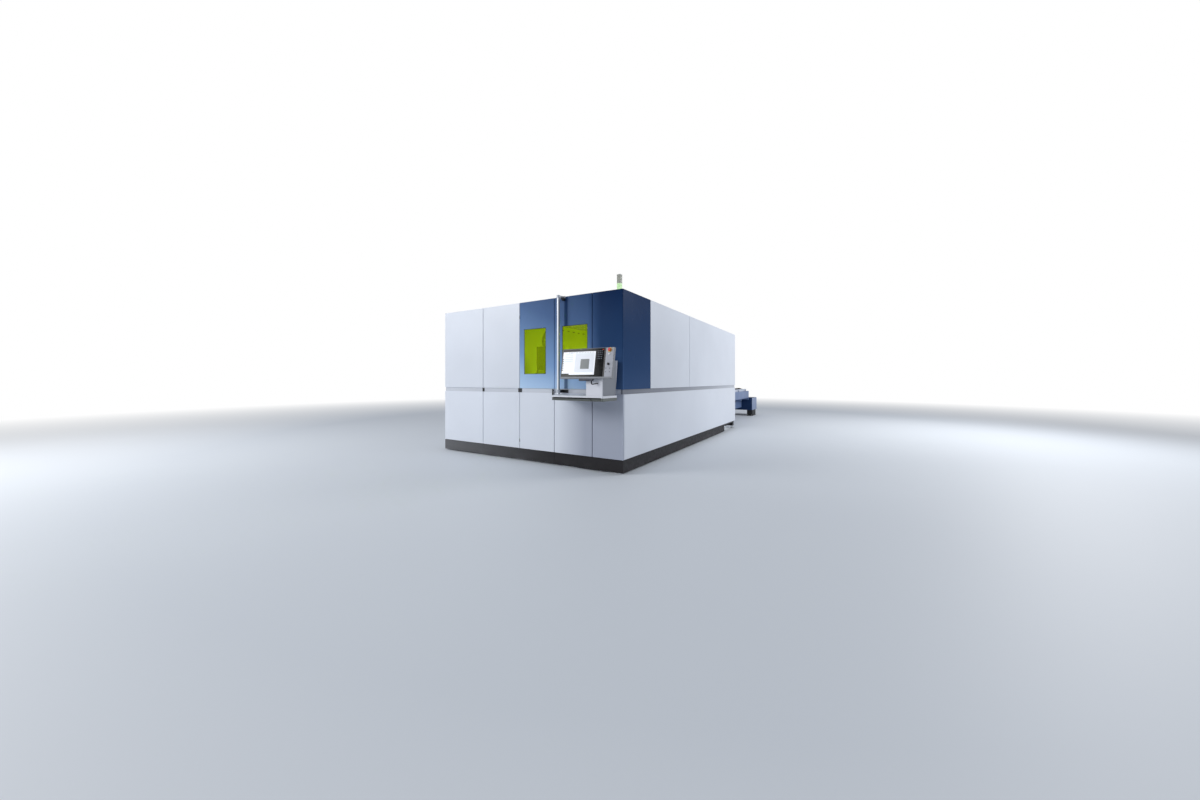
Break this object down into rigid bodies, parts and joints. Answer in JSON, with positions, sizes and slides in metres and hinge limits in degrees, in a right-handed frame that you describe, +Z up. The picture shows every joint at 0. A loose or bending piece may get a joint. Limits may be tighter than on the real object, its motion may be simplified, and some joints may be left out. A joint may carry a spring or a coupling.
{
  "type": "fiber laser cutting machine",
  "caption": "Enclosed sheet-metal laser cutting machine: white and dark blue cabin with green windows, swing console, gantry inside and a two-level pallet changer behind.",
  "frame": {"origin": "on the floor, under the middle of the machine's length and of the cabin's width", "axes": "+X to the side with the console, -Y to the operator's front, +Z up"},
  "size_m": [3.678, 11.0568, 2.64],
  "materials": {
    "white_panel": "satin powder coat",
    "blue_panel": "glossy dark blue paint",
    "band_grey": "satin grey paint",
    "plinth_black": "dull black paint",
    "frame_grey": "grey paint",
    "bed_paint": "textured machine paint",
    "rail_steel": "ground steel",
    "gantry_paint": "dark grey paint",
    "head_metal": "anodised",
    "chain_plastic": "moulded black",
    "changer_paint": "blue-grey paint",
    "pallet_paint": "light grey paint",
    "slat_steel": "scaled and soot-darkened steel",
    "leg_black": "dull black paint",
    "gasket_rubber": "matt",
    "laser_glass": "yellow-green filter glass",
    "hinge_steel": "black",
    "handle_black": "moulded black",
    "post_metal": "satin silver",
    "bracket_dark": "black",
    "console_white": "satin white",
    "drawer_grey": "satin grey",
    "keyboard_black": "moulded",
    "monitor_shell": "grey moulded shell",
    "screen_glass": "glossy black front glass",
    "strip_grey": "satin light grey",
    "stop_red": "red",
    "collar_yellow": "yellow",
    "start_white": "white",
    "knob_black": "black",
    "cable_black": "matt black jacket",
    "cabinet_grey": "light grey powder coat",
    "spigot_zinc": "galvanised",
    "tower_grey": "grey",
    "lens_green": "lit green lens",
    "lens_grey": "unlit lens"
  },
  "bodies": {
    "machine": {"base_frame": "plinth_black", "levelling_feet": "rail_steel", "plinth_covers": "plinth_black", "enclosure_frame": "frame_grey", "roof": "white_panel", "trim_band": "band_grey", "chamber_partition": "frame_grey", "rear_wall": "white_panel", "front_panels_upper": "white_panel", "front_panel_window": "blue_panel", "corner_panel": "blue_panel", "front_panels_lower": "white_panel", "side_panels_upper": "white_panel", "side_panel_lower": "white_panel", "left_panels": "white_panel", "fixed_window_gasket": "gasket_rubber", "fixed_window_glass": "laser_glass", "hinge_leaves_fixed": "hinge_steel", "bed_frame": "bed_paint", "guide_rails": "rail_steel", "inner_tracks": "changer_paint", "changer_frame": "changer_paint", "changer_end_unit": "changer_paint", "changer_legs": "leg_black", "post_brackets": "bracket_dark", "control_cabinet": "cabinet_grey", "laser_source": "cabinet_grey", "extraction_spigot": "spigot_zinc", "tower_ends": "tower_grey", "tower_lens_green": "lens_green", "tower_lens_upper": "lens_grey"},
    "front_door": {"door_panel": "blue_panel", "door_panel_lower": "white_panel", "door_window_gasket": "gasket_rubber", "door_window_glass": "laser_glass", "hinge_leaves_door": "hinge_steel"},
    "door_handle": {"door_handle": "handle_black"},
    "gantry": {"gantry_beam": "gantry_paint", "energy_chain": "chain_plastic"},
    "carriage": {"carriage": "gantry_paint"},
    "cutting_head": {"cutting_head_assembly": "head_metal"},
    "upper_pallet": {"upper_pallet": "pallet_paint", "upper_pallet_slats": "slat_steel"},
    "lower_pallet": {"lower_pallet": "pallet_paint", "lower_pallet_slats": "slat_steel"},
    "rear_gate": {"rear_gate": "white_panel"},
    "console": {"swing_post": "post_metal", "console_shelf": "console_white", "pedestal": "console_white", "monitor_mount": "bracket_dark"},
    "drawer": {"keyboard_drawer": "drawer_grey", "keyboard": "keyboard_black"},
    "monitor": {"monitor_housing": "monitor_shell", "screen_glass": "screen_glass", "control_strip": "strip_grey", "stop_collar": "collar_yellow", "monitor_cable": "cable_black"},
    "stop_button": {"stop_button": "stop_red"},
    "start_button": {"start_button": "start_white"},
    "selector_knob": {"selector_knob": "knob_black"}
  },
  "joints": [
    {"name": "door_hinge", "type": "hinge", "parent": "machine", "child": "front_door", "pos_m": [-0.005, -5.053, 1.3], "axis": [0, 0, -1], "range_deg": [0, 100]},
    {"name": "handle_turn", "type": "hinge", "parent": "front_door", "child": "door_handle", "pos_m": [0.646, -5.065, 1.074], "axis": [0, 1, 0], "range_deg": [0, 90]},
    {"name": "console_swing", "type": "hinge", "parent": "machine", "child": "console", "pos_m": [0.808, -5.142, 1.1], "axis": [0, 0, -1], "range_deg": [0, 95]},
    {"name": "drawer_slide", "type": "slide", "parent": "console", "child": "drawer", "axis": [0, -1, 0], "range_m": [0, 0.25]},
    {"name": "monitor_tilt", "type": "hinge", "parent": "console", "child": "monitor", "pos_m": [1.6045, -5.43385, 1.41728], "axis": [1, 0, 0], "range_deg": [-10, 6], "deforming": ["monitor_cable"]},
    {"name": "stop_press", "type": "slide", "parent": "monitor", "child": "stop_button", "axis": [0, 0.9848, -0.1736], "range_m": [0, 0.006]},
    {"name": "start_press", "type": "slide", "parent": "monitor", "child": "start_button", "axis": [0, 0.9848, -0.1736], "range_m": [0, 0.004], "stiffness_N_per_m": 400},
    {"name": "selector_turn", "type": "hinge", "parent": "monitor", "child": "selector_knob", "pos_m": [1.828, -5.49143, 1.41321], "axis": [0, 0.9848, -0.1736], "range_deg": [0, 90]},
    {"name": "gantry_travel", "type": "slide", "parent": "machine", "child": "gantry", "axis": [0, 1, 0], "range_m": [0, 3.7]},
    {"name": "carriage_travel", "type": "slide", "parent": "gantry", "child": "carriage", "axis": [1, 0, 0], "range_m": [0, 1.5], "deforming": ["energy_chain"]},
    {"name": "head_lift", "type": "slide", "parent": "carriage", "child": "cutting_head", "axis": [0, 0, 1], "range_m": [-0.24, 0]},
    {"name": "upper_shuttle", "type": "slide", "parent": "machine", "child": "upper_pallet", "axis": [0, -1, 0], "range_m": [0, 4.94]},
    {"name": "lower_shuttle", "type": "slide", "parent": "machine", "child": "lower_pallet", "axis": [0, 1, 0], "range_m": [0, 4.94]},
    {"name": "rear_gate_lift", "type": "slide", "parent": "machine", "child": "rear_gate", "axis": [0, 0, 1], "range_m": [-0.55, 0]}
  ],
  "couplings": [
    {"joint": "lower_shuttle", "follows": "upper_shuttle", "ratio": 1}
  ]
}
